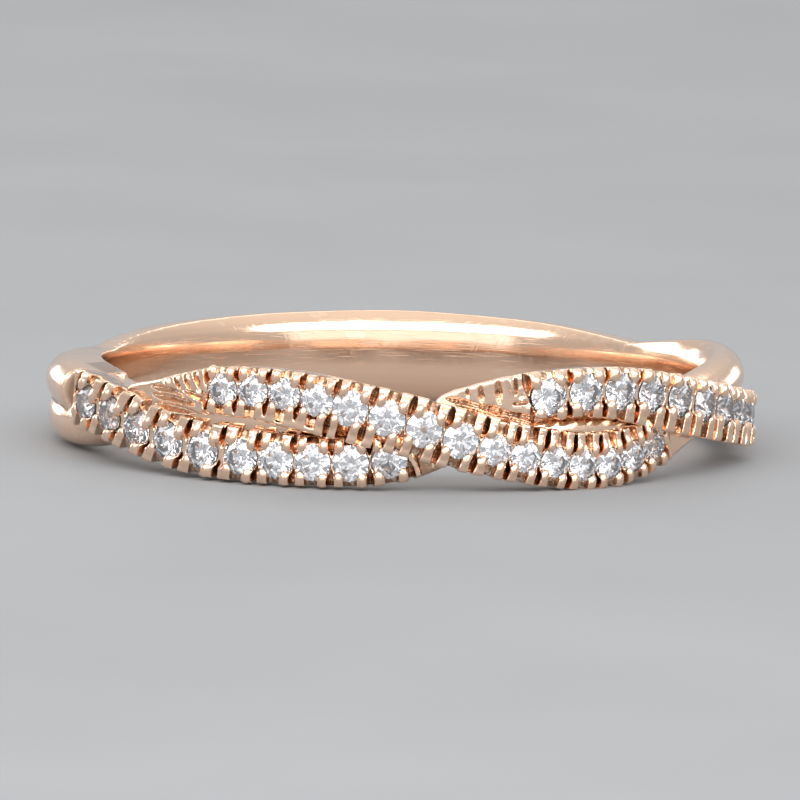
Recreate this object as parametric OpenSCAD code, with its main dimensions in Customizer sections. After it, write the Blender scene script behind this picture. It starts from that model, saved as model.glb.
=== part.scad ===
// Twisted rope ring. Two pave-set strands cross over each other round the front
// of a plain domed shank. The finger hole runs along Z and is centred on the origin.
// Angles go round the ring from the front (-Y), positive towards +X.

/* [Finger hole] */
// Diameter of the finger hole
bore_d = 17; // [16:0.1:17.4]

/* [Strands] */
// Overall height of the twist, along the finger
twist_h = 3.4; // [3.3:0.05:3.6]
// Width of a strand across its two rims
strand_w = 1.34; // [1.3:0.01:1.4]
// Radius out to the flat land that the stones are set in
land_r = 9.98; // [9.8:0.01:10.2]
// Radius out to the middle of the web that fills the gap between the strands
web_r = 9.68; // [9.5:0.01:9.75]

/* [Shank] */
// Width of the shank opposite the twist
shank_w = 2.7; // [2.2:0.05:3]
// Radius out to the top of the shank's dome
shank_r = 9.95; // [9.6:0.01:10.2]

/* [Stones and teeth] */
// Height of a stone's crown above its girdle, as a share of its diameter
crown_share = 0.15; // [0.1:0.01:0.2]
// Depth of a stone's pavilion below its girdle, as a share of its diameter
pavilion_share = 0.43; // [0.35:0.01:0.45]
// Clearance between a stone and its seat
seat_gap = 0.02; // [0.015:0.001:0.03]
// Height of a tooth above the land
tooth_h = 0.17; // [0.1:0.01:0.2]
// Length of a tooth's foot along the strand
tooth_l = 0.25; // [0.18:0.01:0.28]
// Depth of the graver cuts between the teeth, down the rims' sides
cut_h = 0.55; // [0.3:0.05:0.6]

/* [Hidden] */
bore_r = bore_d / 2;
half_w = strand_w / 2;
// The solids reach this far inside the hole before it is cut
bore_spare = 0.35;
// The sides of the strands and the shank draw in by this much towards the finger
side_draft = 0.08;
// Bevel along a rim, across and down
rim_bevel = 0.1;
// Height of the dome on the strands' plain round ends, and on the shank
strand_dome = 0.75;
shank_dome = 0.9;
// Angles up a dome from its side at which its outline has a corner
dome_steps = [0, 35, 70];

// Strand that comes from the lower left, passes under and rises to the upper right
STRAND_A = [
    // angle, height, rise of the top, share of plain round section
    [-126,  0.00, -0.30, 1],
    [-112,  0.02, -0.04, 1],
    [ -98,  0.14,  0.14, 1],
    [ -84,  0.21,  0.17, 1],
    [ -73,  0.17,  0.13, 0.8],
    [ -62,  0.02,  0.08, 0],
    [ -54, -0.20,  0.05, 0],
    [ -46, -0.53,  0.02, 0],
    [ -38, -0.80,  0.00, 0],
    [ -28, -0.95,  0.00, 0],
    [ -18, -0.98,  0.00, 0],
    [  -8, -0.98, -0.02, 0],
    [  -1, -0.90, -0.15, 0],
    [   6, -0.50, -0.45, 0],
    [  12,  0.10, -0.45, 0],
    [  18,  0.70, -0.18, 0],
    [  24,  1.00,  0.00, 0],
    [  31,  1.05,  0.00, 0],
    [  38,  1.06,  0.00, 0],
    [  45,  0.86,  0.02, 0],
    [  52,  0.62,  0.05, 0],
    [  60,  0.36,  0.08, 0],
    [  68,  0.06,  0.10, 0],
    [  76, -0.20,  0.08, 0],
    [  86, -0.44,  0.06, 0.6],
    [  98, -0.54,  0.02, 1],
    [ 112, -0.38, -0.06, 1],
    [ 126, -0.14, -0.16, 1],
    [ 140,  0.00, -0.35, 1],
];

// Strand that passes over in the middle, from the upper left to the lower right
STRAND_B = [
    // angle, height, rise of the top, share of plain round section
    [-126, -0.05, -0.35, 1],
    [-112, -0.32, -0.10, 1],
    [ -98, -0.62,  0.04, 1],
    [ -84, -0.80,  0.10, 1],
    [ -74, -0.80,  0.06, 1],
    [ -65, -0.68, -0.16, 1],
    [ -58, -0.28, -0.42, 0.4],
    [ -50,  0.30, -0.32, 0],
    [ -44,  0.64, -0.14, 0],
    [ -38,  0.84, -0.03, 0],
    [ -30,  0.93,  0.00, 0],
    [ -20,  0.96,  0.00, 0],
    [ -13,  0.80,  0.04, 0],
    [  -8,  0.60,  0.07, 0],
    [  -2,  0.35,  0.10, 0],
    [   4,  0.06,  0.12, 0],
    [  10, -0.28,  0.10, 0],
    [  16, -0.55,  0.06, 0],
    [  22, -0.80,  0.02, 0],
    [  28, -1.00,  0.00, 0],
    [  35, -1.10, -0.02, 0],
    [  41, -0.96, -0.08, 0],
    [  46, -0.68, -0.18, 0],
    [  52, -0.36, -0.32, 0],
    [  60,  0.10, -0.45, 0.4],
    [  70,  0.40, -0.42, 1],
    [  82,  0.58, -0.26, 1],
    [  94,  0.67, -0.16, 1],
    [ 106,  0.67, -0.14, 1],
    [ 118,  0.44, -0.16, 1],
    [ 130,  0.18, -0.22, 1],
    [ 142,  0.02, -0.35, 1],
];

// How far the rims of strands A and B reach past half_w, most where they face the web
RIMS_A = [
    // angle, below, above
    [-72,  0.07,  0.11],
    [-60,  0.08,  0.21],
    [-50,  0.09,  0.23],
    [-40,  0.07,  0.20],
    [-27,  0.02,  0.17],
    [-15,  0.00,  0.07],
    [ -2,  0.00,  0.01],
    [  6, -0.01, -0.01],
    [ 20, -0.05, -0.01],
    [ 27, -0.01,  0.03],
    [ 34,  0.09,  0.01],
    [ 42,  0.25,  0.01],
    [ 50,  0.33,  0.01],
    [ 60,  0.33,  0.01],
    [ 78,  0.25,  0.03],
    [ 90,  0.11,  0.05],
];
RIMS_B = [
    // angle, below, above
    [-60,  0.05,  0.00],
    [-30,  0.05,  0.00],
    [-20,  0.08,  0.00],
    [ -8,  0.13,  0.11],
    [  0,  0.19,  0.19],
    [ 10,  0.17,  0.23],
    [ 20,  0.09,  0.25],
    [ 35,  0.01,  0.27],
    [ 46,  0.01,  0.19],
    [ 60, -0.01,  0.13],
];

// Shank, and the web that it becomes between the strands
SHANK = [
    // angle, half width, radius of the top, lean outwards of its upper side
    [-180, shank_w / 2,        shank_r,        0],
    [-152, shank_w / 2 - 0.08, shank_r,        0],
    [-130, shank_w / 2 - 0.22, shank_r,        0],
    [-112, shank_w / 2 - 0.42, shank_r - 0.10, 0],
    [ -96, 0.60,               web_r - 0.08,   0],
    [ -64, 0.50,               web_r - 0.18,   0],
    [ -46, 0.80,               web_r,          0.45],
    [ -18, 0.80,               web_r,          0.55],
    [   4, 0.50,               web_r - 0.18,   0],
    [  20, 0.80,               web_r,          0.55],
    [  50, 0.80,               web_r,          0.45],
    [  68, 0.50,               web_r - 0.18,   0],
    [ 100, 0.60,               web_r - 0.08,   0],
    [ 118, shank_w / 2 - 0.55, shank_r - 0.15, 0],
    [ 132, shank_w / 2 - 0.44, shank_r - 0.02, 0],
    [ 152, shank_w / 2 - 0.16, shank_r,        0],
    [ 180, shank_w / 2,        shank_r,        0],
];

// Rows of stones, evenly spaced between the first and the last
ROWS = [
    // strand, angle of the first, angle of the last, stones, stone diameter,
    // stones whose upper rim cut the other strand covers
    ["b", -29.8, -13.4, 4, 0.90, 0],
    ["b",  -8.0,   9.7, 4, 1.02, 0],
    ["b",  15.3,  46.5, 7, 0.88, 1],
    ["a", -61.5, -33.5, 5, 1.05, 0],
    ["a", -26.3,  -1.7, 5, 1.02, 1],
    ["a",  24.4,  78.4, 9, 1.05, 0],
];

// Angle of the scoop before strand A's first stone
scoop_angle = -68.8;

// Value of a table's column k at an angle, rounded off over a short arc
function at(rows, k, a, arc = 6) =
    let (pairs = [for (row = rows) [row[0], row[k]]])
    (lookup(a - arc, pairs) + 2 * lookup(a - arc / 2, pairs) + 2 * lookup(a, pairs)
     + 2 * lookup(a + arc / 2, pairs) + lookup(a + arc, pairs)) / 8;

// The tables' heights are scaled so that the twist is twist_h high over all
peak = max([for (rows = [STRAND_A, STRAND_B]) for (a = [-60 : 1 : 60]) abs(at(rows, 1, a))]);
height_scale = (twist_h / 2 - half_w) / peak;

function height(rows, a) = height_scale * at(rows, 1, a);
function top_radius(rows, a) = land_r + at(rows, 2, a);

// Rise per millimetre of arc
function slope(rows, a) =
    (height(rows, a + 0.5) - height(rows, a - 0.5)) / (top_radius(rows, a) * PI / 180);

// One side of an outline, joined to its mirror image
function mirrored(side) =
    concat(side, [for (i = [len(side) - 1 : -1 : 0]) [-side[i][0], side[i][1]]]);

// Half width of a set strand on the side of a column: 1 is below, 2 is above
function rim_half(rows, k, a) = half_w + at(rows == STRAND_A ? RIMS_A : RIMS_B, k, a);

// Outlines as [offset across, radius]: flat-topped where the strand holds stones
function flat_side(half, top) = [
    [-half + side_draft, bore_r - bore_spare],
    [-half, top - 0.45],
    [-half + 0.3 * rim_bevel, top - rim_bevel],
    [-half + rim_bevel, top]];
function dome_side(half, top, dome) =
    [for (t = dome_steps) [-half * cos(t), top - dome + dome * sin(t)]];
function round_side(top) = concat(
    [[-half_w + side_draft, bore_r - bore_spare]],
    dome_side(half_w + 0.04, top, strand_dome));
function strand_side(rows, k, a) =
    let (plain = at(rows, 3, a, 3), top = top_radius(rows, a))
    (1 - plain) * flat_side(rim_half(rows, k, a), top) + plain * round_side(top);
function strand_section(rows, a) =
    let (below = strand_side(rows, 1, a), above = strand_side(rows, 2, a), n = len(above))
    concat(below, [for (i = [n - 1 : -1 : 0]) [-above[i][0], above[i][1]]]);

// Outline of the shank, which leans where it is the web
function shank_section(a) =
    let (half = at(SHANK, 1, a), lean = at(SHANK, 3, a), foot = half - side_draft)
    concat([[-foot, bore_r - bore_spare]],
           [for (p = mirrored(dome_side(half, at(SHANK, 2, a), shank_dome)))
               [p[0], p[1] + lean * p[0] / half]],
           [[foot, bore_r - bore_spare]]);

// Point at an angle, off to one side of a strand that climbs at the given slope
function placed(a, offset, radius, height, slope) =
    let (run = 1 / sqrt(1 + slope * slope), along = -offset * slope * run)
    [radius * sin(a) + along * cos(a), -radius * cos(a) + along * sin(a), height + offset * run];

// Skin over a list of outlines, closed round the ring or capped at its ends
module skin(rings, closed) {
    n = len(rings);
    m = len(rings[0]);
    spans = closed ? n : n - 1;
    points = [for (ring = rings) for (p = ring) p];
    sides = [for (i = [0 : spans - 1]) for (j = [0 : m - 1])
        [i * m + j, i * m + (j + 1) % m, (i + 1) % n * m + (j + 1) % m, (i + 1) % n * m + j]];
    caps = closed ? [] : [[for (j = [m - 1 : -1 : 0]) j], [for (j = [0 : m - 1]) (n - 1) * m + j]];
    polyhedron(points, concat(sides, caps), convexity = 6);
}

module strand(rows, step = 4) {
    skin([for (a = [rows[0][0] : step : rows[len(rows) - 1][0]])
        let (h = height(rows, a), s = slope(rows, a))
        [for (p = strand_section(rows, a)) placed(a, p[0], p[1], h, s)]], closed = false);
}

module shank(step = 8) {
    skin([for (a = [-180 : step : 180 - step])
        [for (p = shank_section(a)) placed(a, p[0], p[1], 0, 0)]], closed = true);
}

// Puts the children on a strand's top at an angle: X runs along the strand, Z outwards
module on_strand(rows, a) {
    translate(placed(a, 0, top_radius(rows, a), height(rows, a), 0))
        rotate([0, 0, a]) rotate([90, 0, 0]) rotate([0, 0, atan(slope(rows, a))]) children();
}

function strand_of(row) = row[0] == "a" ? STRAND_A : STRAND_B;
function stone_angle(row, i) = row[1] + i * (row[2] - row[1]) / (row[3] - 1);
function stone_pitch(row) = (row[2] - row[1]) / (row[3] - 1) * land_r * PI / 180;

// Points of a level ring of n corners
function corners(n, r, z, turn) =
    [for (i = [0 : n - 1]) [r * cos(turn + i * 360 / n), r * sin(turn + i * 360 / n), z]];

// Brilliant with its girdle's top edge at z = 0: a table, eight star, eight kite and
// sixteen girdle facets on the crown, and sixteen facets down to the culet
module brilliant(d) {
    r = d / 2;
    crown = crown_share * d;
    girdle_h = 0.03 * d;
    points = concat(
        corners(8, 0.56 * r, crown, 0),
        corners(8, 0.78 * r, 0.62 * crown, 22.5),
        corners(16, r, 0, 0),
        corners(16, r, -girdle_h, 0),
        [[0, 0, -girdle_h - pavilion_share * d]]);
    faces = concat(
        [[for (i = [7 : -1 : 0]) i]],
        [for (i = [0 : 7]) [i, (i + 1) % 8, 8 + i]],
        [for (i = [0 : 7]) [8 + (i + 7) % 8, i, 8 + i, 16 + 2 * i]],
        [for (i = [0 : 7]) [8 + i, 17 + 2 * i, 16 + 2 * i]],
        [for (i = [0 : 7]) [8 + i, 16 + (2 * i + 2) % 16, 17 + 2 * i]],
        [for (i = [0 : 15]) [16 + i, 16 + (i + 1) % 16, 32 + (i + 1) % 16, 32 + i]],
        [for (i = [0 : 15]) [32 + i, 32 + (i + 1) % 16, 48]]);
    polyhedron(points, faces, convexity = 2);
}

// Eight-sided seat that clears a stone by seat_gap or more on every side
module seat(d) {
    r = (d / 2 + seat_gap) / cos(22.5);
    below = 0.03 * d + seat_gap / 2;
    above = crown_share * d + seat_gap;
    rotate([0, 0, 22.5]) rotate_extrude($fn = 8) polygon([
        [0, -below - pavilion_share * d - seat_gap],
        [r, -below],
        [r, seat_gap / 2],
        [0.66 * r, above],
        [0, above]]);
}

// The four teeth that hold one stone
module teeth(d) {
    reach = d / 2 + 0.07;
    sunk = 0.15;
    for (turn = [50, 130, 230, 310])
        translate([reach * cos(turn), reach * sin(turn), -sunk]) scale([1, 1.25, 1])
            cylinder(h = sunk + tooth_h, d1 = tooth_l, d2 = 0.65 * tooth_l, $fn = 6);
}

// Graver cuts across the rims, half a pitch before the stone at an angle
module rim_cuts(rows, a, pitch, covered) {
    for (side = covered ? [[-1, 1]] : [[-1, 1], [1, 2]])
        translate([-pitch / 2, side[0] * (rim_half(rows, side[1], a) + 0.03), -cut_h])
            cylinder(h = cut_h + rim_bevel, r1 = 0.03, r2 = 0.15, $fn = 4);
}

// Scoop across a strand's top, where the plain wire meets the row of stones
module end_scoop() {
    scoop_r = 0.6;
    depth = 0.26;
    translate([0, 0, scoop_r - depth]) rotate([90, 0, 0])
        cylinder(h = 2 * strand_w, r = scoop_r, center = true, $fn = 16);
}

module metal() {
    difference() {
        union() {
            shank();
            strand(STRAND_A);
            strand(STRAND_B);
            for (row = ROWS) for (i = [0 : row[3] - 1])
                on_strand(strand_of(row), stone_angle(row, i)) teeth(row[4]);
        }
        for (row = ROWS) for (i = [0 : row[3] - 1])
            on_strand(strand_of(row), stone_angle(row, i)) {
                seat(row[4]);
                rim_cuts(strand_of(row), stone_angle(row, i), stone_pitch(row),
                         i >= row[3] - row[5]);
            }
        on_strand(STRAND_A, scoop_angle) end_scoop();
    }
}

// One cast piece: the shank, both strands, their teeth and seats, and the hole.
// The stations along a strand can miss its peak, so the height is set once more.
module band() {
    color("#d9a07c") difference() {
        resize([0, 0, twist_h]) metal();
        cylinder(h = 2 * twist_h, r = bore_r, center = true, $fn = 128);
    }
}

// Every stone as [row, angle], in the order of the rows
PLACES = [for (row = ROWS) for (i = [0 : row[3] - 1]) [row, stone_angle(row, i)]];

module stone(n) {
    row = PLACES[n - 1][0];
    color("#f2f4f6") on_strand(strand_of(row), PLACES[n - 1][1]) brilliant(row[4]);
}

band();
for (n = [1 : len(PLACES)]) stone(n);
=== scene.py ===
"""Looks of a twisted rope ring: two pave-set strands over a plain domed shank.

Pieces are modelled in millimetres. A strand is modelled straight, with X along it, Z across
it and -Y outwards from its land, and then wrapped round the finger hole along its rail.
"""

import math

import bmesh
import bpy
from mathutils import Matrix, Vector


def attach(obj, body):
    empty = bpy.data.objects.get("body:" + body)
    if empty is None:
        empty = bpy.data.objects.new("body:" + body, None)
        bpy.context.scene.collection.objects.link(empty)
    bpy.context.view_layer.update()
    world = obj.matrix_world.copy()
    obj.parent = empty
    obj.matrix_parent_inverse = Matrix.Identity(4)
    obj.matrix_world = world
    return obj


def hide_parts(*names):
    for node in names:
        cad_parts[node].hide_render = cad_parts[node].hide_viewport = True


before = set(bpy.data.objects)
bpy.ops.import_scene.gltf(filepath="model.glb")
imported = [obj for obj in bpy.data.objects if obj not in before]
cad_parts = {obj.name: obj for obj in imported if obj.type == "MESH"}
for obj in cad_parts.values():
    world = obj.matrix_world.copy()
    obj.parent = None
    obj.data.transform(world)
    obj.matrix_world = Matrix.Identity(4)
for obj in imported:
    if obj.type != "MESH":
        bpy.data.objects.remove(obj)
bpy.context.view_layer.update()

MM = 0.001

# Sizes of the ring, in millimetres, as in the part
BORE_R = 8.5
TWIST_H = 3.4
STRAND_W = 1.34
LAND_R = 9.98
WEB_R = 9.68
SHANK_W = 2.7
SHANK_R = 9.95
TOOTH_H = 0.17
HALF_W = STRAND_W / 2

# How far a strand's plain ends rise above its land, and how much more next to the stones
PLAIN_RISE = 0.06
LEAD_RISE = 0.07
# How much lower the upper rim's outer edge lies
RIM_DROP = 0.05
# Short cuts on a lower rim: depth and reach of the scallops, reach of the grooves
SHORT_SCALLOP = (0.6, 0.55)
SHORT_GROOVE = 0.6
# Deepest that a cut goes below a strand's top; deeper vertices get no painted shade
DEEPEST_CUT = 0.7

# Fineness of the meshes
STRAND_VOXEL = 0.028
SHANK_VOXEL = 0.045
MOST_TRIANGLES = 190000
# The strands' hole is wider than the shank's, so that their faces don't lie in each other
STRAND_HOLE = 1.004

# Camera's distance in millimetres, and the photo's scale and width in pixels
CAMERA_AWAY = 300
PIXELS_PER_MM = 35
PHOTO_WIDTH = 800

# Strand that comes from the lower left, passes under and rises to the upper right:
# angle from the front, height, rise of the top
STRAND_A = (
    (-126, 0.00, -0.30), (-112, 0.02, -0.04), (-98, 0.14, 0.14), (-84, 0.21, 0.17),
    (-73, 0.17, 0.13), (-62, 0.02, 0.08), (-54, -0.20, 0.05), (-46, -0.53, 0.02),
    (-38, -0.80, 0.00), (-28, -0.95, 0.00), (-18, -0.98, 0.00), (-8, -0.98, -0.02),
    (-1, -0.90, -0.15), (6, -0.50, -0.45), (12, 0.10, -0.45), (18, 0.70, -0.18),
    (24, 1.00, 0.00), (31, 1.05, 0.00), (38, 1.06, 0.00), (45, 0.86, 0.02),
    (52, 0.62, 0.05), (60, 0.36, 0.08), (68, 0.06, 0.10), (76, -0.20, 0.08),
    (86, -0.44, 0.06), (98, -0.54, 0.02), (112, -0.38, -0.06), (126, -0.14, -0.16),
    (140, 0.00, -0.35),
)

# Strand that passes over in the middle, from the upper left to the lower right
STRAND_B = (
    (-126, -0.05, -0.35), (-112, -0.32, -0.10), (-98, -0.62, 0.04), (-84, -0.80, 0.10),
    (-74, -0.80, 0.06), (-65, -0.68, -0.16), (-58, -0.28, -0.42), (-50, 0.30, -0.32),
    (-44, 0.64, -0.14), (-38, 0.84, -0.03), (-30, 0.93, 0.00), (-20, 0.96, 0.00),
    (-13, 0.80, 0.04), (-8, 0.60, 0.07), (-2, 0.35, 0.10), (4, 0.06, 0.12),
    (10, -0.28, 0.10), (16, -0.55, 0.06), (22, -0.80, 0.02), (28, -1.00, 0.00),
    (35, -1.10, -0.02), (41, -0.96, -0.08), (46, -0.68, -0.18), (52, -0.36, -0.32),
    (60, 0.10, -0.45), (70, 0.40, -0.42), (82, 0.58, -0.26), (94, 0.67, -0.16),
    (106, 0.67, -0.14), (118, 0.44, -0.16), (130, 0.18, -0.22), (142, 0.02, -0.35),
)

# Rows of stones: strand, angle of the first, angle of the last, stones, stone diameter
ROWS = (
    (STRAND_B, -29.8, -13.4, 4, 0.90),
    (STRAND_B, -8.0, 9.7, 4, 1.02),
    (STRAND_B, 15.3, 46.5, 7, 0.88),
    (STRAND_A, -61.5, -33.5, 5, 1.05),
    (STRAND_A, -26.3, -1.7, 5, 1.02),
    (STRAND_A, 24.4, 78.4, 9, 1.05),
)
SCOOP_ANGLE = -68.6

# Half widths of the set strands below and above their rails, which are widest where they
# face the web between them: angle, lower half, upper half
WIDTH_A = (
    (-72, 0.74, 0.78), (-60, 0.75, 0.88), (-50, 0.76, 0.90), (-40, 0.74, 0.87),
    (-27, 0.69, 0.84), (-15, 0.67, 0.74), (-2, 0.67, 0.68), (6, 0.66, 0.80), (9, 0.65, 1.20),
    (12, 0.64, 1.16), (15, 0.62, 1.02), (18, 0.62, 0.92), (21, 0.62, 0.81), (24, 0.64, 0.74),
    (27, 0.66, 0.70), (34, 0.76, 0.68), (42, 0.92, 0.68), (50, 1.00, 0.68), (60, 1.00, 0.68),
    (78, 0.92, 0.70), (90, 0.78, 0.72),
)
WIDTH_B = (
    (-60, 0.30, 0.30), (-56, 0.30, 0.30), (-50, 0.66, 0.48), (-46, 0.72, 0.39), (-43, 0.72, 0.34),
    (-39, 0.72, 0.42), (-36, 0.72, 0.48), (-33, 0.72, 0.58), (-30, 0.72, 0.64), (-24, 0.79, 0.66),
    (-19, 0.90, 0.67), (-13, 0.95, 0.70), (-8, 0.95, 0.78), (0, 0.90, 0.86), (10, 0.84, 0.90),
    (20, 0.76, 0.92), (35, 0.67, 0.94), (46, 0.67, 0.86), (60, 0.66, 0.80),
)

# Graver cuts where the two strands come out from under each other:
# angle and height across the strand of one end, of the other, width, depth
B_START_CUTS = (
    (-45.0, 0.24, -36.6, -0.20, 0.26, 0.24), (-45.0, 0.00, -34.6, -0.46, 0.28, 0.28),
    (-44.6, -0.26, -32.6, -0.80, 0.28, 0.26), (-34.4, -0.58, -28.2, -0.88, 0.12, 0.32),
    (-39.0, -0.16, -34.6, -0.44, 0.12, 0.40), (-37.6, 0.02, -31.4, -0.40, 0.20, 0.24),
    (-41.5, 0.46, -39.9, -0.02, 0.18, 0.20), (-39.1, 0.50, -37.6, -0.02, 0.20, 0.22),
    (-36.9, 0.56, -35.6, -0.06, 0.20, 0.24), (-34.9, 0.60, -33.6, 0.00, 0.20, 0.24),
    (-33.3, 0.00, -32.2, -0.50, 0.18, 0.20),
)
# Beads left between them: angle, height across the strand, length, width
B_START_BEADS = (
    (-40.2, 0.20, 0.20, 0.34), (-38.2, 0.24, 0.22, 0.38), (-36.1, 0.24, 0.22, 0.42),
    (-34.2, 0.30, 0.20, 0.42), (-33.9, -0.12, 0.20, 0.24), (-32.9, -0.34, 0.20, 0.24),
)
A_START_CUTS = (
    (13.9, 1.10, 13.3, 0.72, 0.13, 0.11), (15.5, 0.98, 14.7, 0.42, 0.16, 0.14),
    (17.9, 0.90, 16.9, 0.20, 0.20, 0.18), (20.3, 0.84, 19.3, 0.26, 0.14, 0.16),
    (10.0, 1.14, 15.4, 0.18, 0.22, 0.22), (13.0, 0.60, 18.4, -0.28, 0.24, 0.26),
    (16.2, 0.00, 22.2, -0.62, 0.24, 0.26), (19.4, -0.42, 25.2, -0.72, 0.18, 0.20),
    (10.8, 0.84, 16.0, -0.16, 0.22, 0.22), (14.8, 0.02, 20.4, -0.62, 0.22, 0.24),
    (18.2, 0.12, 21.2, -0.02, 0.13, 0.14),
)
A_START_BEADS = (
    (19.2, 0.52, 0.18, 0.34), (21.2, 0.46, 0.18, 0.30), (20.0, 0.12, 0.18, 0.18),
    (20.9, -0.20, 0.22, 0.22),
)


def lookup(rows, column, angle):
    """Value of a table's column at an angle, on straight lines between its rows."""
    for low, high in zip(rows, rows[1:]):
        if angle <= high[0]:
            share = max(0.0, (angle - low[0]) / (high[0] - low[0]))
            return low[column] + share * (high[column] - low[column])
    return rows[-1][column]


def at(rows, column, angle, arc=6):
    """The same, rounded off over a short arc."""
    spots = ((-arc, 1), (-arc / 2, 2), (0, 2), (arc / 2, 2), (arc, 1))
    return sum(weight * lookup(rows, column, angle + step) for step, weight in spots) / 8


PEAK = max(abs(at(rows, 1, a)) for rows in (STRAND_A, STRAND_B) for a in range(-60, 61))
HEIGHT_SCALE = (TWIST_H / 2 - HALF_W) / PEAK


def rail_point(rows, angle):
    """Point in the middle of a strand's land."""
    radius = LAND_R + at(rows, 2, angle)
    turn = math.radians(angle)
    height = HEIGHT_SCALE * at(rows, 1, angle)
    return Vector((radius * math.sin(turn), -radius * math.cos(turn), height))


def rail(rows):
    """Points each half degree along a strand's land, with the way along it to each."""
    first, last = rows[0][0], rows[-1][0]
    angles = [first + i / 2 for i in range(2 * (last - first) + 1)]
    points = [rail_point(rows, a) for a in angles]
    ways = [0.0]
    for p, q in zip(points, points[1:]):
        ways.append(ways[-1] + (q - p).length)
    return angles, points, ways


def way_to(rows, angle):
    """Way along a strand's rail from its start to an angle."""
    angles, _, ways = rail(rows)
    i = min(int((angle - angles[0]) * 2), len(ways) - 2)
    share = (angle - angles[i]) * 2
    return ways[i] + share * (ways[i + 1] - ways[i])


# ---- Steps of the work ----

def only(piece):
    """Leaves edit mode with this piece alone selected and active."""
    if bpy.context.object and bpy.context.object.mode != "OBJECT":
        bpy.ops.object.mode_set(mode="OBJECT")
    bpy.ops.object.select_all(action="DESELECT")
    piece.select_set(True)
    bpy.context.view_layer.objects.active = piece


def named(name):
    """The piece that was just added, under its name and with its place in its mesh."""
    piece = bpy.context.object
    piece.name = piece.data.name = name
    only(piece)
    bpy.ops.object.transform_apply(location=True, rotation=True, scale=True)
    return piece


def pick(piece, kind, test):
    """Goes into edit mode and selects the vertices, edges or faces that pass a test."""
    only(piece)
    bpy.ops.object.mode_set(mode="EDIT")
    bpy.ops.mesh.select_mode(type=kind)
    bpy.ops.mesh.select_all(action="DESELECT")
    mesh = bmesh.from_edit_mesh(piece.data)
    for part in {"VERT": mesh.verts, "EDGE": mesh.edges, "FACE": mesh.faces}[kind]:
        if test(part):
            part.select_set(True)
    bmesh.update_edit_mesh(piece.data)


def finish_with(piece, kind, **values):
    """Adds a modifier and applies it."""
    only(piece)
    modifier = piece.modifiers.new(kind.lower(), kind)
    for key, value in values.items():
        setattr(modifier, key, value)
    bpy.ops.object.modifier_apply(modifier=modifier.name)
    return piece


def copy_to(piece, matrix):
    """A copy of a piece with its own mesh, moved by a matrix."""
    other = piece.copy()
    other.data = piece.data.copy()
    other.data.transform(matrix)
    bpy.context.collection.objects.link(other)
    return other


def joined(pieces, name):
    """One piece from several."""
    only(pieces[0])
    for piece in pieces:
        piece.select_set(True)
    if len(pieces) > 1:
        bpy.ops.object.join()
    return named(name)


def discard(*pieces):
    for piece in pieces:
        bpy.data.objects.remove(piece)


def cut(piece, cutter, keep=False):
    """Takes a cutter out of a piece."""
    finish_with(piece, "BOOLEAN", operation="DIFFERENCE", solver="MANIFOLD", object=cutter)
    if not keep:
        discard(cutter)
    return piece


def thinned(piece, triangles=MOST_TRIANGLES):
    """Takes faces out where a piece is smooth, and shades it smoothly."""
    there = sum(len(face.vertices) - 2 for face in piece.data.polygons)
    finish_with(piece, "DECIMATE", ratio=min(1, triangles / there))
    only(piece)
    bpy.ops.object.shade_smooth()
    return piece


def to_metres(piece):
    only(piece)
    piece.scale = (MM, MM, MM)
    bpy.ops.object.transform_apply(location=True, rotation=True, scale=True)
    return piece


def rail_curve(rows, name):
    """The rail as a curve that the straight strand is wrapped along."""
    _, points, _ = rail(rows)
    data = bpy.data.curves.new(name, "CURVE")
    data.dimensions = "3D"
    data.twist_mode = "Z_UP"
    data.use_deform_bounds = False
    line = data.splines.new("POLY")
    line.points.add(len(points) - 1)
    for spot, point in zip(line.points, points):
        spot.co = (*point, 1)
    curve = bpy.data.objects.new(name, data)
    bpy.context.collection.objects.link(curve)
    return curve


def wrap(piece, curve):
    return finish_with(piece, "CURVE", object=curve, deform_axis="POS_X")


# ---- The finger hole, as a tool that all the metal is cut with ----

def finger_hole():
    """Barrel that is narrowest half way along, so that the ring is easy on the finger."""
    bpy.ops.mesh.primitive_cylinder_add(vertices=256, radius=BORE_R, depth=0.5)
    hole = named("finger_hole")
    for way in (-1, 1):
        pick(hole, "FACE", lambda f: f.normal.z * way > 0.9)
        radius = BORE_R
        for step, wider in ((0.3, 0.02), (0.25, 0.04), (0.2, 0.08), (0.15, 0.1), (0.15, 0.15),
                            (0.15, 0.18), (0.2, 0.26), (0.8, 0.7)):
            bpy.ops.mesh.extrude_region_move(
                TRANSFORM_OT_translate={"value": (0, 0, step * way)})
            grow = (radius + wider) / radius
            bpy.ops.transform.resize(value=(grow, grow, 1))
            radius += wider
    only(hole)
    return hole


# ---- Shank ----

# Shank, and the web that it becomes between the strands:
# angle, half width, radius of the top, lean outwards of its upper side
SHANK = (
    (-180, SHANK_W / 2, SHANK_R, 0), (-152, SHANK_W / 2 - 0.08, SHANK_R, 0),
    (-130, SHANK_W / 2 - 0.22, SHANK_R, 0), (-112, SHANK_W / 2 - 0.42, SHANK_R - 0.10, 0),
    (-96, 0.60, WEB_R - 0.08, 0), (-64, 0.50, WEB_R - 0.18, 0), (-46, 0.80, WEB_R + 0.16, -0.18),
    (-18, 0.80, WEB_R + 0.16, -0.18), (4, 0.50, WEB_R - 0.18, 0), (20, 0.80, WEB_R, 0.55),
    (50, 0.80, WEB_R, 0.45), (68, 0.50, WEB_R - 0.18, 0), (100, 0.60, WEB_R - 0.08, 0),
    (118, SHANK_W / 2 - 0.55, SHANK_R - 0.15, 0), (132, SHANK_W / 2 - 0.44, SHANK_R - 0.02, 0),
    (152, SHANK_W / 2 - 0.16, SHANK_R, 0), (180, SHANK_W / 2, SHANK_R, 0),
)
SHANK_DOME = 0.9


def angle_of(point):
    """Angle round the ring from the front."""
    return math.degrees(math.atan2(point.x, -point.y))


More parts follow.
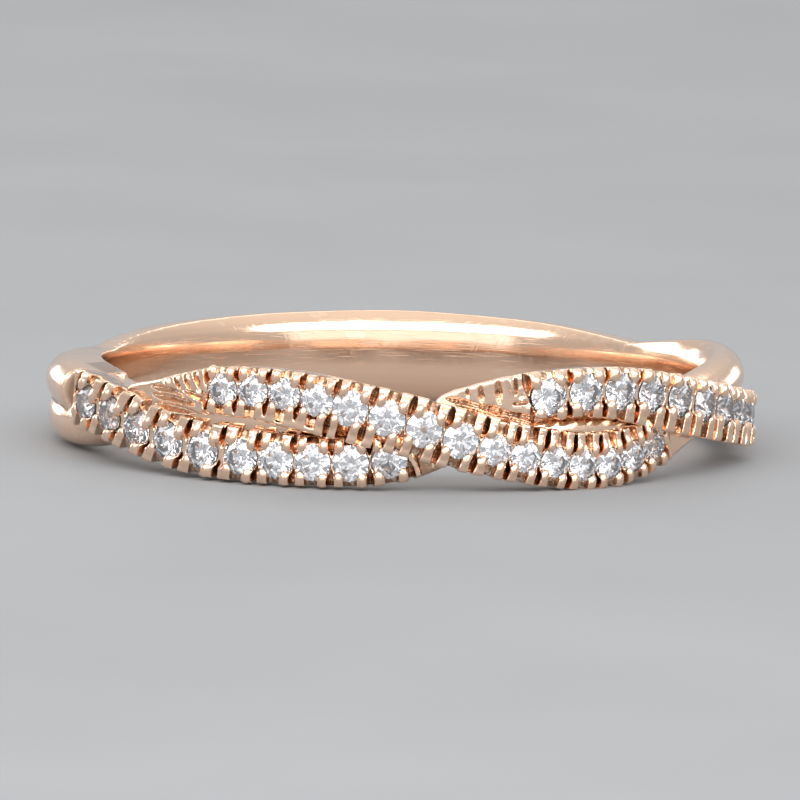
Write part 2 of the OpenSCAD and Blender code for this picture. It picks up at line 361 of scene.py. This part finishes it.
def build_shank(steps=90):
    half, sides = SHANK_W / 2, SHANK_R - SHANK_DOME
    bpy.ops.mesh.primitive_circle_add(
        vertices=36, radius=1, location=(sides, 0, 0), rotation=(math.pi / 2, 0, 0))
    shank = named("shank")
    pick(shank, "VERT", lambda v: v.co.x > sides - 0.001)
    bpy.ops.transform.resize(value=(SHANK_DOME, 1, half), center_override=(sides, 0, 0))
    pick(shank, "VERT", lambda v: v.co.x < sides - 0.001)
    bpy.ops.transform.resize(value=(0.01, 1, half), center_override=(sides, 0, 0))
    bpy.ops.transform.translate(value=(BORE_R - 0.3 - sides, 0, 0))
    bpy.ops.mesh.select_all(action="SELECT")
    bpy.ops.mesh.spin(steps=steps, angle=2 * math.pi, center=(0, 0, 0), axis=(0, 0, 1))
    bpy.ops.mesh.select_all(action="SELECT")
    bpy.ops.mesh.remove_doubles(threshold=0.001)
    for step in range(steps):
        angle = (360 * step / steps + 270) % 360 - 180
        turn = math.radians(angle)
        out = Vector((math.sin(turn), -math.cos(turn), 0))
        along = Vector((math.cos(turn), math.sin(turn), 0))

        def here(v):
            gap = (angle_of(v.co) - angle + 180) % 360 - 180
            return abs(gap) < 0.4 * 360 / steps

        width, top, lean = (at(SHANK, k, angle) for k in (1, 2, 3))
        pick(shank, "VERT", here)
        bpy.ops.transform.resize(value=(1, 1, width / half), center_override=(0, 0, 0))
        pick(shank, "VERT", lambda v: here(v) and v.co.to_2d().length > sides - 0.001)
        bpy.ops.transform.translate(value=out * (top - SHANK_R))
        if abs(lean) > 0.02:
            bpy.ops.transform.rotate(
                value=math.atan(lean / width), orient_axis="X", orient_type="GLOBAL",
                orient_matrix=(along, out, (0, 0, 1)), orient_matrix_type="GLOBAL",
                center_override=out * (top - 0.3))
    bpy.ops.mesh.select_all(action="SELECT")
    bpy.ops.mesh.normals_make_consistent(inside=False)
    only(shank)
    finish_with(shank, "SUBSURF", levels=1, render_levels=1)
    return shank


# ---- Straight strands ----

def flat_bar(name, start, end, top, depth=1.9, bevel=0.1):
    """Straight bar with a flat top, its long edges bevelled."""
    bpy.ops.mesh.primitive_cube_add(
        size=1, location=((start + end) / 2, top + depth / 2, 0),
        scale=(end - start, depth, STRAND_W))
    bar = named(name)
    pick(bar, "EDGE", lambda e: e.verts[0].co.y < top + 0.01 and e.verts[1].co.y < top + 0.01
         and abs(e.verts[0].co.x - e.verts[1].co.x) > 0.5)
    bpy.ops.mesh.bevel(offset=bevel, segments=4, affect="EDGES")
    pick(bar, "VERT", lambda v: v.co.y > top + depth - 0.01)
    bpy.ops.transform.resize(value=(1, 1, 0.8), center_override=(0, 0, 0))
    only(bar)
    return bar


def set_bar(name, start, end):
    """Straight bar with a raised rim round its land, lower at the upper rim's outer edge."""
    rim = TOOTH_H - 0.03
    bar = flat_bar(name, start, end, -rim, bevel=0.11)
    pick(bar, "FACE", lambda f: f.normal.y < -0.99)
    bpy.ops.mesh.inset(thickness=0.24)
    bpy.ops.mesh.extrude_region_move(TRANSFORM_OT_translate={"value": (0, rim, 0)})
    pick(bar, "EDGE", lambda e: all(-rim - 0.01 < v.co.y < -rim + 0.01
                                    and abs(v.co.z) < HALF_W - 0.2 for v in e.verts))
    bpy.ops.mesh.bevel(offset=0.1, segments=4, affect="EDGES")
    pick(bar, "VERT", lambda v: v.co.z > HALF_W - 0.12 and v.co.y < 0)
    bpy.ops.transform.translate(value=(0, RIM_DROP, 0))
    only(bar)
    return bar


def widened(bar, rows, widths, step=2):
    """Moves a straight bar's sides out to the widths of a table, station by station."""
    angles = [a for a in range(-60, 92, step)]
    for angle in angles:
        pick(bar, "FACE", lambda f: True)
        bpy.ops.mesh.bisect(plane_co=(way_to(rows, angle), 0, 0), plane_no=(1, 0, 0))
    ways = [way_to(rows, a) for a in angles]
    for side, column in ((-1, 1), (1, 2)):
        for i, x in enumerate(ways):
            low = -99 if i == 0 else (x + ways[i - 1]) / 2
            high = 99 if i == len(ways) - 1 else (x + ways[i + 1]) / 2
            wider = lookup(widths, column, angles[i]) - HALF_W
            pick(bar, "VERT", lambda v: low <= v.co.x < high and v.co.z * side > HALF_W - 0.12)
            bpy.ops.transform.translate(value=(0, 0, side * wider))
    only(bar)
    return bar


def wire_bar(name, start, end, step=0.25):
    """Straight round-topped bar, for a strand's plain ends."""
    half, depth, top = HALF_W + 0.04, 1.75, 0
    bpy.ops.mesh.primitive_cube_add(
        size=1, location=((start + end) / 2, top + depth / 2, 0),
        scale=(end - start, depth, 2 * half))
    bar = named(name)
    pick(bar, "EDGE", lambda e: e.verts[0].co.y < 0.01 and e.verts[1].co.y < 0.01
         and abs(e.verts[0].co.x - e.verts[1].co.x) > 0.5)
    bpy.ops.mesh.bevel(offset=half - 0.005, segments=14, affect="EDGES")
    count = int((end - start) / step)
    pick(bar, "EDGE", lambda e: abs(e.verts[0].co.x - e.verts[1].co.x) > 0.5)
    bpy.ops.mesh.subdivide_edgering(number_cuts=count)
    only(bar)
    return bar


def seat_cutter():
    """Hollow that a stone of 1 mm sits in: cone, girdle and crown."""
    bpy.ops.mesh.primitive_cone_add(
        vertices=32, radius1=0.515, radius2=0, depth=0.47, location=(0, 0.265, 0),
        rotation=(-math.pi / 2, 0, 0))
    seat = named("seat_cutter")
    pick(seat, "FACE", lambda f: f.normal.y < -0.9)
    bpy.ops.mesh.extrude_region_move(TRANSFORM_OT_translate={"value": (0, -0.04, 0)})
    bpy.ops.mesh.extrude_region_move(TRANSFORM_OT_translate={"value": (0, -0.22, 0)})
    bpy.ops.transform.resize(value=(0.5, 1, 0.5))
    only(seat)
    return seat


def scallop_cutter(tilt=math.radians(32)):
    """Round bar that cuts a U through the upper rim at the middle of a stone, deeper outwards."""
    bpy.ops.mesh.primitive_cylinder_add(
        vertices=24, radius=0.17, depth=1.3, rotation=(-tilt, 0, 0),
        location=(0, 0.38 * math.tan(tilt) - 0.14, 0.8))
    scallop = named("scallop_cutter")
    pick(scallop, "FACE", lambda f: f.normal.y < -0.4 and abs(f.normal.z) < 0.6)
    bpy.ops.transform.translate(value=(0, -0.6, 0))
    only(scallop)
    return scallop


def wheel_cutter():
    """Sharp-edged wheel that splits a post on the upper rim into two teeth."""
    bpy.ops.mesh.primitive_cylinder_add(
        vertices=48, radius=0.5, depth=0.06, location=(0, -0.24, 0.62),
        rotation=(0, math.pi / 2, 0))
    wheel = named("wheel_cutter")
    for way in (-1, 1):
        pick(wheel, "FACE", lambda f: f.normal.x * way > 0.9)
        bpy.ops.mesh.extrude_region_move(TRANSFORM_OT_translate={"value": (0.085 * way, 0, 0)})
        bpy.ops.transform.resize(value=(1, 0.02, 0.02), center_override=(0, -0.24, 0.62))
    only(wheel)
    return wheel


def tooth_beads():
    """The four rounded heads of the teeth round a stone of 1 mm."""
    beads = []
    for along in (-1, 1):
        for side in (-1, 1):
            bpy.ops.mesh.primitive_uv_sphere_add(
                segments=20, ring_count=12, radius=1,
                location=(0.31 * along, -0.06, 0.45 * side), scale=(0.15, 0.155, 0.23))
            beads.append(named("bead"))
    return joined(beads, "tooth_beads")


def graver_cut(start, end, width, depth):
    """Spindle with a V-shaped belly, as a graver cuts, from one point to another."""
    start, end = Vector(start), Vector(end)
    bpy.ops.mesh.primitive_cylinder_add(vertices=4, radius=1, depth=1)
    spindle = bpy.context.object
    spindle.scale = (width / 2, depth, (end - start).length)
    spindle = named("graver_cut")
    pick(spindle, "FACE", lambda f: abs(f.normal.z) > 0.9)
    bpy.ops.transform.resize(value=(0.15, 0.15, 1), center_override=(0, 0, 0))
    pick(spindle, "EDGE", lambda e: abs(e.verts[0].co.z - e.verts[1].co.z) > 0.01)
    bpy.ops.mesh.subdivide(number_cuts=3)
    for height, wide in ((0, 6.7), (0.25, 5.2)):
        pick(spindle, "VERT", lambda v: abs(abs(v.co.z) - height * (end - start).length) < 0.001)
        bpy.ops.transform.resize(value=(wide, wide, 1), center_override=(0, 0, 0))
    only(spindle)
    along = (end - start).normalized()
    across = along.cross(Vector((0, 1, 0))).normalized()
    matrix = Matrix((across, along.cross(across), along)).transposed().to_4x4()
    spindle.data.transform(Matrix.Translation((start + end) / 2) @ matrix)
    return spindle


def graver_cuts(rows, table):
    """Graver cuts on a strand, each from one angle and height to another."""
    return [graver_cut((way_to(rows, a), -0.09, low), (way_to(rows, b), -0.09, high), width, depth)
            for a, low, b, high, width, depth in table]


def small_beads(rows, table):
    """Beads raised from a strand: angle, height across it, length, width."""
    beads = []
    for angle, height, long, wide in table:
        bpy.ops.mesh.primitive_uv_sphere_add(
            segments=20, ring_count=12, radius=1, location=(way_to(rows, angle), -0.07, height),
            scale=(long / 2, 0.13, wide / 2))
        beads.append(named("small_bead"))
    return beads


def scoop_cutter(x, radius=0.55, depth=0.5):
    """Round bar that scoops out the top of a strand from side to side."""
    bpy.ops.mesh.primitive_cylinder_add(
        vertices=64, radius=radius, depth=2 * STRAND_W, location=(x, depth - radius, 0))
    return named("scoop_cutter")


def set_strand(name, rows, widths, rows_here, start_angle, end_angle, hole, voxel=STRAND_VOXEL,
               extra=(), spare=(0.2, 0.2), cutters=(), slant=((-90, 4), (90, 4)),
               short_cuts=(0, 0)):
    """A stretch of a strand with its stones' seats, teeth and cuts. The cuts lean by the slant,
    and those on the lower rim are short between two angles."""

    def leaning(angle):
        return Matrix.Rotation(math.radians(lookup(slant, 1, angle)), 4, "Y")

    def is_short(column, angle):
        return column == 1 and short_cuts[0] < angle < short_cuts[1]

    places = []
    for _, first, last, count, size in rows_here:
        for i in range(count):
            places.append((way_to(rows, first + i * (last - first) / (count - 1)), size))
    start, end = way_to(rows, start_angle), way_to(rows, end_angle)
    low, high = places[0][0], places[-1][0]
    low_half = (places[1][0] - low) / 2
    high_half = (high - places[-2][0]) / 2
    bar = set_bar(name, low - low_half - spare[0], high + high_half + spare[1])
    if start < low - low_half - 0.3:
        lead = flat_bar("lead_in", start, low - low_half, -PLAIN_RISE)
        pick(lead, "VERT", lambda v: v.co.x > start + 0.01 and v.co.y < 0.3)
        bpy.ops.transform.translate(value=(0, -LEAD_RISE, 0))
        only(lead)
        bar = joined([bar, lead], name)
    if end > high + high_half + 0.3:
        bar = joined([bar, flat_bar("run_out", high + high_half, end, -PLAIN_RISE)], name)
    if extra:
        bar = joined([bar] + list(extra), name)
    widened(bar, rows, widths)
    seat, scallop, wheel, beads = seat_cutter(), scallop_cutter(), wheel_cutter(), tooth_beads()
    angles = [first + i * (last - first) / (count - 1)
              for _, first, last, count, _ in rows_here for i in range(count)]
    junctions = [(1.5 * angles[0] - 0.5 * angles[1], low - low_half)]
    junctions += [((a + b) / 2, (p[0] + q[0]) / 2)
                  for a, b, p, q in zip(angles, angles[1:], places, places[1:])]
    junctions += [(1.5 * angles[-1] - 0.5 * angles[-2], high + high_half)]
    slants = [leaning(angle) for angle in angles]
    all_beads = [copy_to(beads, Matrix.Translation((x, 0, 0)) @ turn @ Matrix.Diagonal(
        (size, 1, 1, 1))) for (x, size), turn in zip(places, slants)]
    bar = joined([bar] + all_beads, name)
    finish_with(bar, "REMESH", mode="VOXEL", voxel_size=voxel)
    seats = [copy_to(seat, Matrix.Translation((x, 0, 0)) @ Matrix.Scale(size, 4))
             for x, size in places]
    cuts, grooves, slots = [], [], []
    for half_turns, column in ((1, 1), (0, 2)):
        side = Matrix.Rotation(half_turns * math.pi, 4, "Y")
        for angle, (x, size), turn in zip(angles, places, slants):
            shape = SHORT_SCALLOP if is_short(column, angle) else (1, 1)
            cuts.append(copy_to(scallop, Matrix.Translation((x, 0, 0)) @ side @ turn
                                @ Matrix.Diagonal((size, *shape, 1))))
        for angle, x in junctions:
            half = lookup(widths, column, angle)
            size = min(places, key=lambda p: abs(p[0] - x))[1]
            long = SHORT_GROOVE if is_short(column, angle) else max(0.9, half / 0.95)
            grooves.append(copy_to(wheel, Matrix.Translation((x, 0, 0)) @ side @ leaning(angle)
                                   @ Matrix.Diagonal((size, 1, long, 1))))
            if column == 2:
                slots.append(graver_cut((x - 0.36 * size, 0.02, half - 0.01),
                                        (x + 0.30 * size, 0.03, half - 0.05), 0.16, 0.07))
    discard(seat, scallop, wheel, beads)
    cut(bar, joined(seats[0::2], "even_seats"))
    cut(bar, joined(seats[1::2], "odd_seats"))
    cut(bar, joined(cuts, "scallops"))
    cut(bar, joined(grooves, "grooves"))
    cut(bar, joined(slots, "slots"))
    for cutter in cutters:
        cut(bar, cutter)
    curve = rail_curve(rows, "rail")
    wrap(bar, curve)
    discard(curve)
    cut(bar, hole, keep=True)
    finish_with(bar, "REMESH", mode="VOXEL", voxel_size=voxel)
    finish_with(bar, "SMOOTH", factor=0.5, iterations=3)
    return thinned(bar)


# ---- Stones ----

def brilliant():
    """Round brilliant of 1 mm, cut from a rod facet by facet. Its girdle is at z = 0."""
    crown, girdle, pavilion = 0.148, 0.02, 0.431
    bpy.ops.mesh.primitive_cylinder_add(vertices=64, radius=0.5, depth=1.4)
    stone = named("brilliant")
    # steepness in degrees, way round in degrees, point that the facet passes through
    facets = [(0, 0, (0, 0, crown))]
    for i in range(8):
        way = 45 * i
        facets.append((34.5, way, (0.5, 0)))
        facets.append((180 - 40.75, way, (0.5, -girdle)))
        facets.append((23.6, way + 22.5, (0.263, crown)))
        for turn in (-11.25, 11.25):
            facets.append((40.5, way + turn, (0.5, 0)))
            facets.append((180 - 41.2, way + turn, (0.5, -girdle)))
    pick(stone, "FACE", lambda f: True)
    for steep, way, point in facets:
        tilt, turn = math.radians(steep), math.radians(way)
        normal = Vector((math.sin(tilt) * math.cos(turn), math.sin(tilt) * math.sin(turn),
                         math.cos(tilt)))
        if len(point) == 2:
            point = (point[0] * math.cos(turn), point[0] * math.sin(turn), point[1])
        bpy.ops.mesh.select_all(action="SELECT")
        bpy.ops.mesh.bisect(plane_co=point, plane_no=normal, use_fill=True, clear_outer=True,
                            threshold=0.00001)
    bpy.ops.mesh.select_all(action="SELECT")
    bpy.ops.mesh.normals_make_consistent(inside=False)
    only(stone)
    return stone


def seat_matrix(rows, angle):
    """Place of a stone on a strand: X along the strand, Z outwards."""
    turn = math.radians(angle)
    rise = (HEIGHT_SCALE * (at(rows, 1, angle + 0.5) - at(rows, 1, angle - 0.5))
            / ((LAND_R + at(rows, 2, angle)) * math.pi / 180))
    run = 1 / math.sqrt(1 + rise * rise)
    out = Vector((math.sin(turn), -math.cos(turn), 0))
    along = Vector((math.cos(turn) * run, math.sin(turn) * run, rise * run))
    across = out.cross(along)
    matrix = Matrix((along, across, out)).transposed().to_4x4()
    return Matrix.Translation(rail_point(rows, angle)) @ matrix


def place_stones():
    model = brilliant()
    stones = []
    for rows, first, last, count, size in ROWS:
        for i in range(count):
            n = len(stones) + 1
            angle = first + i * (last - first) / (count - 1)
            spin = Matrix.Rotation(math.radians(137.5 * n % 45), 4, "Z")
            lean = Matrix.Rotation(math.radians(1.5 * math.sin(2.4 * n)), 4, "X") @ Matrix.Rotation(
                math.radians(1.5 * math.cos(1.7 * n)), 4, "Y")
            stone = copy_to(model, seat_matrix(rows, angle) @ lean @ spin @ Matrix.Scale(size, 4))
            stone.name = stone.data.name = f"brilliant_{n}"
            stones.append(stone)
    discard(model)
    return stones


# ---- Camera ----

def photo_camera():
    data = bpy.data.cameras.new("camera")
    camera = bpy.data.objects.new("camera", data)
    bpy.context.collection.objects.link(camera)
    away = CAMERA_AWAY * MM
    lift = math.radians(6.6)
    back = Vector((0, -math.cos(lift), math.sin(lift)))
    turn = back.to_track_quat("Z", "Y").to_matrix().to_4x4() @ Matrix.Rotation(
        math.radians(1.2), 4, "Z")
    px = away / CAMERA_AWAY / PIXELS_PER_MM
    right, up = turn.col[0].to_3d(), turn.col[1].to_3d()
    camera.matrix_world = Matrix.Translation(
        back * away - right * 1 * px - up * 10 * px) @ turn
    data.sensor_width = 36
    data.angle = 2 * math.atan(PHOTO_WIDTH / PIXELS_PER_MM / 2 / CAMERA_AWAY)
    data.clip_start, data.clip_end = 0.01, 10
    bpy.context.scene.camera = camera


# ---- Looks ----

def add(tree, kind, **values):
    """A new node, with values for its sockets or its own settings."""
    node = tree.nodes.new(kind)
    for key, value in values.items():
        if key in node.inputs:
            node.inputs[key].default_value = value
        else:
            setattr(node, key, value)
    return node


def spread(tree, value, low, high):
    """Stretches a value so that low becomes 0 and high becomes 1."""
    ramp = add(tree, "ShaderNodeMapRange")
    ramp.inputs["From Min"].default_value = low
    ramp.inputs["From Max"].default_value = high
    tree.links.new(value, ramp.inputs["Value"])
    return ramp.outputs["Result"]


def group(name, scale, outputs):
    """A new group of nodes that a scale goes into."""
    tree = bpy.data.node_groups.new(name, "ShaderNodeTree")
    if scale:
        socket = tree.interface.new_socket("Scale", in_out="INPUT", socket_type="NodeSocketFloat")
        socket.default_value = scale
    for label in outputs:
        tree.interface.new_socket(label, in_out="OUTPUT", socket_type="NodeSocketFloat")
    return tree, tree.nodes.new("NodeGroupInput"), tree.nodes.new("NodeGroupOutput")


def hairlines():
    """Fine scratches of a polished surface after long use."""
    tree, come, go = group("hairlines", 1.0, ("Mask", "Height"))
    link = tree.links.new
    place = add(tree, "ShaderNodeTexCoord")
    both = add(tree, "ShaderNodeMath", operation="MAXIMUM")
    for i, (turn, stretch) in enumerate((((0.3, 0.2, 0.5), (900, 900, 40000)),
                                         ((1.1, 0.6, -0.4), (1200, 36000, 1500)))):
        mapping = add(tree, "ShaderNodeMapping", Rotation=turn, Scale=stretch)
        noise = add(tree, "ShaderNodeTexNoise", Detail=2.0, Roughness=0.5)
        link(place.outputs["Object"], mapping.inputs["Vector"])
        link(mapping.outputs["Vector"], noise.inputs["Vector"])
        link(come.outputs["Scale"], noise.inputs["Scale"])
        link(spread(tree, noise.outputs["Fac"], 0.58, 0.72), both.inputs[i])
    below = add(tree, "ShaderNodeMath", operation="MULTIPLY")
    below.inputs[1].default_value = -1.0
    link(both.outputs[0], below.inputs[0])
    link(both.outputs[0], go.inputs["Mask"])
    link(below.outputs[0], go.inputs["Height"])
    return tree


def note_depth(piece, rows, low=-180, high=180, round_top=0, dive=-1):
    """Notes at each vertex how far it lies below a strand's top, for the painted shade that darkens
    the cuts.
    A round top has the radius given, a flat one 0. A top that dives further counts as deep."""
    first, half_degrees, spare = rows[0][0] - 60, range(900), 0.04
    rail_heights = [HEIGHT_SCALE * at(rows, 1, first + i / 2) for i in half_degrees]
    land_radii = [LAND_R + max(dive, at(rows, 2, first + i / 2)) for i in half_degrees]
    depths = []
    for vertex in piece.data.vertices:
        angle = angle_of(vertex.co)
        i = int((angle - first) * 2)
        depth = land_radii[i] - vertex.co.to_2d().length
        if round_top:
            off = vertex.co.z - rail_heights[i]
            depth -= round_top - math.sqrt(max(0, round_top ** 2 - off ** 2)) + spare
        here = low < angle < high and depth < DEEPEST_CUT
        depths.append(max(0.0, depth) if here else 0.0)
    piece.data.attributes.new("depth", "FLOAT", "POINT").data.foreach_set("value", depths)


def wear_and_painted_light():
    """Rubbed edges that are smoother and get a painted highlight, and hollows that stay dull and
    get painted shade.
    """
    tree, _, go = group("wear_and_painted_light", None, ("Edges", "DullShadedHollows"))
    shape = add(tree, "ShaderNodeNewGeometry")
    # Masks from how convex the surface is: the lighter colour on edges is a painted highlight, the
    # darker colour in hollows is painted shade
    for label, low, high in (("Edges", 0.515, 0.56), ("DullShadedHollows", 0.496, 0.474)):
        tree.links.new(spread(tree, shape.outputs["Pointiness"], low, high), go.inputs[label])
    return tree


def clouds():
    """Soft differences over a surface."""
    tree, come, go = group("clouds", 400.0, ("Mask",))
    place = add(tree, "ShaderNodeTexCoord")
    noise = add(tree, "ShaderNodeTexNoise", Detail=4.0, Roughness=0.55)
    tree.links.new(place.outputs["Object"], noise.inputs["Vector"])
    tree.links.new(come.outputs["Scale"], noise.inputs["Scale"])
    tree.links.new(spread(tree, noise.outputs["Fac"], 0.3, 0.7), go.inputs["Mask"])
    return tree


def use(tree, nodes, scale=None):
    """Puts a group of nodes into a material."""
    node = tree.nodes.new("ShaderNodeGroup")
    node.node_tree = nodes
    if scale:
        node.inputs["Scale"].default_value = scale
    return node.outputs


def mixed(tree, factor, first, second):
    """Mixes two colours or two numbers by a mask."""
    node = tree.nodes.new("ShaderNodeMix")
    colours = isinstance(second, tuple)
    node.data_type = "RGBA" if colours else "FLOAT"
    for socket, value in zip((0, 6, 7) if colours else (0, 2, 3), (factor, first, second)):
        if isinstance(value, bpy.types.NodeSocket):
            tree.links.new(value, node.inputs[socket])
        else:
            node.inputs[socket].default_value = value
    return node.outputs[2 if colours else 0]


def new_material(name):
    material = bpy.data.materials.new(name)
    material.use_nodes = True
    return material, material.node_tree, material.node_tree.nodes["Principled BSDF"].inputs


def polished_rose_gold(groups, rough=0.12):
    material, tree, shader = new_material("rose_gold_polish")
    shader["Metallic"].default_value = 1
    cloud = use(tree, groups["clouds"], 260.0)["Mask"]
    wear_and_light = use(tree, groups["wear_and_painted_light"])
    lines = use(tree, groups["hairlines"], 1.0)
    colour = mixed(tree, cloud, (0.91, 0.63, 0.455, 1), (0.94, 0.67, 0.495, 1))
    # Painted shade in the cuts: the colour goes to dark brown the deeper a vertex lies below its
    # strand's top
    depth = add(tree, "ShaderNodeAttribute", attribute_name="depth")
    deep = spread(tree, depth.outputs["Fac"], 0.03, 0.18)
    colour = mixed(tree, deep, colour, (0.46, 0.28, 0.18, 1))
    # Painted shade in the hollows: very dark brown where the surface is concave
    colour = mixed(tree, wear_and_light["DullShadedHollows"], colour, (0.28, 0.16, 0.10, 1))
    # Painted highlight on the edges: a lighter colour where the surface is convex
    colour = mixed(tree, wear_and_light["Edges"], colour, (0.97, 0.70, 0.53, 1))
    tree.links.new(colour, shader["Base Color"])
    value = mixed(tree, cloud, rough * 1.25, rough * 0.8)
    value = mixed(tree, wear_and_light["DullShadedHollows"], value, rough + 0.16)
    value = mixed(tree, wear_and_light["Edges"], value, rough * 0.6)
    value = mixed(tree, lines["Mask"], value, rough + 0.12)
    tree.links.new(value, shader["Roughness"])
    bump = add(tree, "ShaderNodeBump", Strength=0.2, Distance=0.000004)
    tree.links.new(lines["Height"], bump.inputs["Height"])
    tree.links.new(bump.outputs["Normal"], shader["Normal"])
    return material


def clear_stone(groups):
    material, tree, shader = new_material("clear_brilliant")
    shader["Transmission Weight"].default_value = 0.93
    shader["IOR"].default_value = 2.42
    cloud = use(tree, groups["clouds"], 2600.0)["Mask"]
    colour = mixed(tree, cloud, (0.90, 0.91, 0.98, 1), (0.99, 0.99, 1, 1))
    tree.links.new(colour, shader["Base Color"])
    tree.links.new(mixed(tree, cloud, 0.04, 0.0), shader["Roughness"])
    return material


def pale_floor(groups):
    material, tree, shader = new_material("pale_floor")
    cloud = use(tree, groups["clouds"], 60.0)["Mask"]
    colour = mixed(tree, cloud, (0.28, 0.288, 0.30, 1), (0.31, 0.318, 0.33, 1))
    tree.links.new(colour, shader["Base Color"])
    tree.links.new(mixed(tree, cloud, 0.6, 0.75), shader["Roughness"])
    return material


# ---- Studio ----

def softbox(name, place, size, brightness):
    data = bpy.data.lights.new(name, "AREA")
    data.shape = "RECTANGLE"
    data.size, data.size_y = size
    data.energy = brightness * math.pi * size[0] * size[1]
    lamp = bpy.data.objects.new(name, data)
    bpy.context.collection.objects.link(lamp)
    place = Vector(place)
    turn = place.to_track_quat("Z", "Y").to_matrix().to_4x4()
    lamp.matrix_world = Matrix.Translation(place) @ turn


def studio():
    """Soft grey room that gets brighter upwards, with six softboxes."""
    world = bpy.data.worlds.new("studio")
    bpy.context.scene.world = world
    bpy.context.scene.view_settings.view_transform = "Standard"
    world.use_nodes = True
    tree = world.node_tree
    place = add(tree, "ShaderNodeTexCoord")
    split = add(tree, "ShaderNodeSeparateXYZ")
    ramp = add(tree, "ShaderNodeValToRGB")
    tree.links.new(place.outputs["Generated"], split.inputs[0])
    tree.links.new(split.outputs["Z"], ramp.inputs["Fac"])
    tree.links.new(ramp.outputs["Color"], tree.nodes["Background"].inputs["Color"])
    stops = ramp.color_ramp.elements
    stops[0].color = (0.45, 0.45, 0.46, 1)
    stops[1].color = (1.05, 1.04, 1.02, 1)
    for height, colour in ((0.03, (0.52, 0.52, 0.53, 1)), (0.40, (0.68, 0.68, 0.68, 1))):
        stops.new(height).color = colour
    softbox("front_top_softbox", (0.0, -0.22, 0.19), (0.8, 0.16), 3.4)
    softbox("left_softbox", (-0.22, 0.16, 0.09), (0.16, 0.12), 2.2)
    softbox("low_left_softbox", (-0.15, 0.26, 0.035), (0.09, 0.07), 2.6)
    softbox("low_right_softbox", (0.17, 0.25, 0.035), (0.09, 0.07), 1.8)
    softbox("front_fill", (0.0, -0.50, 0.09), (1.0, 0.16), 0.9)
    softbox("back_softbox", (0.0, 0.20, 0.22), (0.34, 0.10), 0.9)


def floor():
    """Floor that the ring rests on with its front and its back."""
    bpy.ops.mesh.primitive_plane_add(
        size=2, location=(0, -9.4 * MM, -1.7 * MM), rotation=(math.atan(0.35 / 19.3), 0, 0))
    return named("floor")


photo_camera()
hole = finger_hole()
shank = build_shank()
wires = []
left_scoop, right_scoop = way_to(STRAND_A, SCOOP_ANGLE), way_to(STRAND_A, 86)
for rows, start, end, scoop in (
        (STRAND_A, -126, -64.5, left_scoop), (STRAND_A, 83, 139, right_scoop),
        (STRAND_B, -126, -57, None), (STRAND_B, 57, 141, None)):
    wire = wire_bar("wire", way_to(rows, start), way_to(rows, end))
    if scoop:
        cut(wire, scoop_cutter(scoop))
    curve = rail_curve(rows, "rail")
    wrap(wire, curve)
    discard(curve)
    cut(wire, hole, keep=True)
    wires.append(wire)
wider_hole = copy_to(hole, Matrix.Diagonal((STRAND_HOLE, STRAND_HOLE, 1, 1)))
strand_b = set_strand(
    "strand_b", STRAND_B, WIDTH_B, ROWS[:3], -56, 58, wider_hole,
    extra=small_beads(STRAND_B, B_START_BEADS), cutters=graver_cuts(STRAND_B, B_START_CUTS),
    short_cuts=(-34, -11))
strand_a_left = set_strand(
    "strand_a_left", STRAND_A, WIDTH_A, ROWS[3:5], -65.4, 7, wider_hole, spare=(0.02, 0.2),
    cutters=[scoop_cutter(left_scoop)], slant=((-50, 22), (-18, 2)))
strand_a_right = set_strand(
    "strand_a_right", STRAND_A, WIDTH_A, ROWS[5:], 5, 84, wider_hole, spare=(0.35, 0.5),
    extra=small_beads(STRAND_A, A_START_BEADS),
    cutters=[scoop_cutter(right_scoop)] + graver_cuts(STRAND_A, A_START_CUTS))
shank = joined([shank] + wires, "shank")
finish_with(shank, "REMESH", mode="VOXEL", voxel_size=SHANK_VOXEL)
cut(shank, hole, keep=True)
finish_with(shank, "REMESH", mode="VOXEL", voxel_size=SHANK_VOXEL)
finish_with(shank, "SMOOTH", factor=0.5, iterations=6)
thinned(shank)
stones = place_stones()
discard(hole, wider_hole)

# Depths for the painted shade in the strands' cuts and in the scoop at the end of the left wire
note_depth(shank, STRAND_A, -75, -63, round_top=0.7)
note_depth(strand_b, STRAND_B)
note_depth(strand_a_left, STRAND_A, dive=-0.08)
note_depth(strand_a_right, STRAND_A)

groups = {"clouds": clouds(), "wear_and_painted_light": wear_and_painted_light(), "hairlines": hairlines()}
gold = polished_rose_gold(groups)
for piece in (strand_b, strand_a_left, strand_a_right, shank):
    piece.data.materials.clear()
    piece.data.materials.append(gold)
    to_metres(piece)
    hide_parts("band")
    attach(piece, "root")
clear = clear_stone(groups)
for n, stone in enumerate(stones, 1):
    stone.data.materials.clear()
    stone.data.materials.append(clear)
    to_metres(stone)
    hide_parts(f"stone_{n}")
    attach(stone, "root")

studio()
ground = floor()
ground.data.materials.append(pale_floor(groups))
